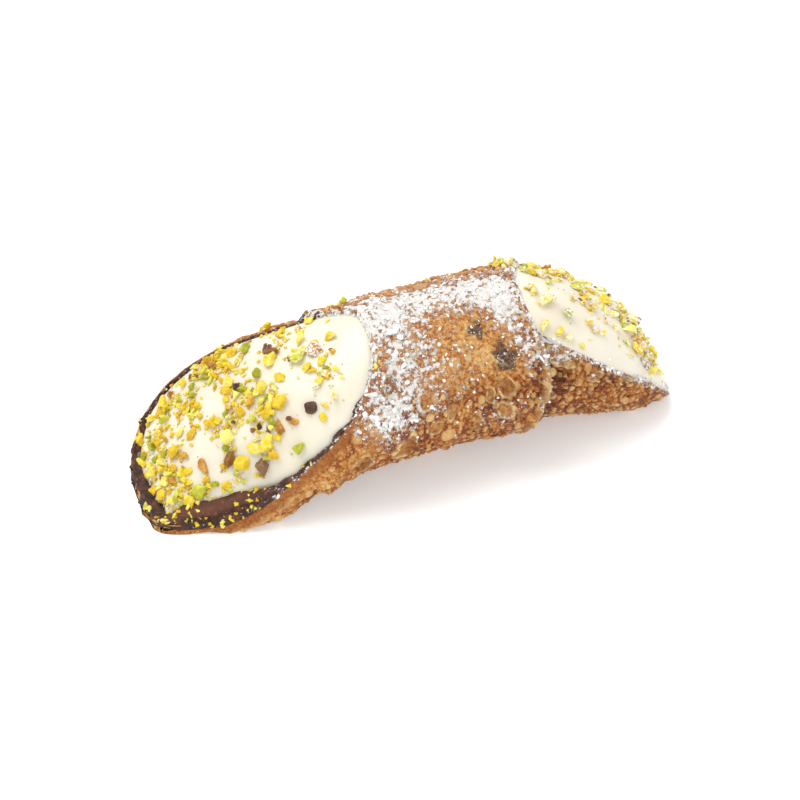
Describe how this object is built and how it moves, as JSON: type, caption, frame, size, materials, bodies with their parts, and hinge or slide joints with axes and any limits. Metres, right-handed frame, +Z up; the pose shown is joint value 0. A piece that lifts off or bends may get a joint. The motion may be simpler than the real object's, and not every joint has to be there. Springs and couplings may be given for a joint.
{
  "type": "cannoli",
  "caption": "Filled cannoli: a blistered fried shell lined with chocolate and filled with ricotta cream.",
  "frame": {"origin": "on the table, under the middle of the cannoli", "axes": "+X along the tube towards its far end, +Y to the back, where the flap of dough ends, +Z up"},
  "size_m": [0.1398, 0.0458, 0.0406],
  "materials": {
    "fried_dough": "blistered, dull, golden brown",
    "chocolate": "brushed on, set, half dull",
    "ricotta_cream": "smooth, moist, off white",
    "pistachio": "chopped, dull, yellow to green",
    "icing_sugar": "sifted powder, white"
  },
  "bodies": {
    "root": {"fried_shell": "fried_dough", "chocolate_lining": "chocolate", "ricotta_filling": "ricotta_cream"}
  },
  "joints": []
}
